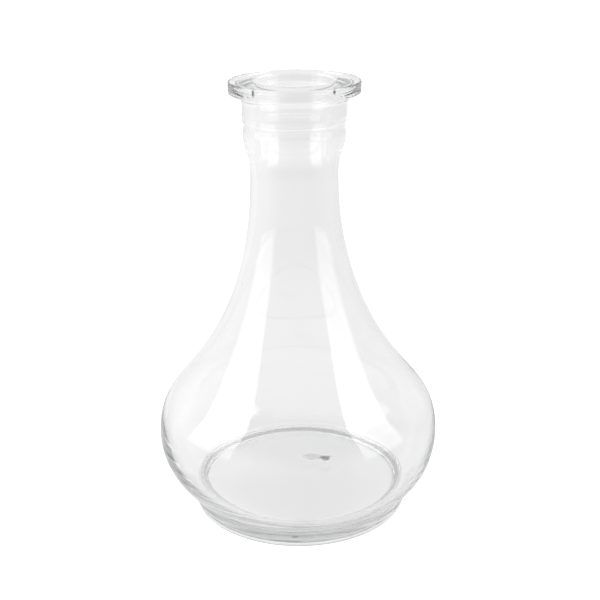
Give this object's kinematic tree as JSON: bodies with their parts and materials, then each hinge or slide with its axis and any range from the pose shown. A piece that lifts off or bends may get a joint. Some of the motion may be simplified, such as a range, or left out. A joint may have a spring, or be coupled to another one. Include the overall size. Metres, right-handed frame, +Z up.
{
  "type": "teardrop vase",
  "caption": "Clear glass teardrop vessel with a wide belly, a slim neck, a thick stepped collar, a flat flange round the mouth and a low foot.",
  "frame": {"origin": "centre of the base, in the plane of the flat ring that the foot stands on", "axes": "+Z up along the vessel's axis, from the foot to the mouth; +X and +Y are free, because the form is turned about Z"},
  "size_m": [0.1704, 0.1704, 0.26],
  "materials": {
    "clear_glass": "smooth, fire-polished clear soda-lime glass"
  },
  "bodies": {
    "root": {"glass_vessel": "clear_glass"}
  },
  "joints": []
}
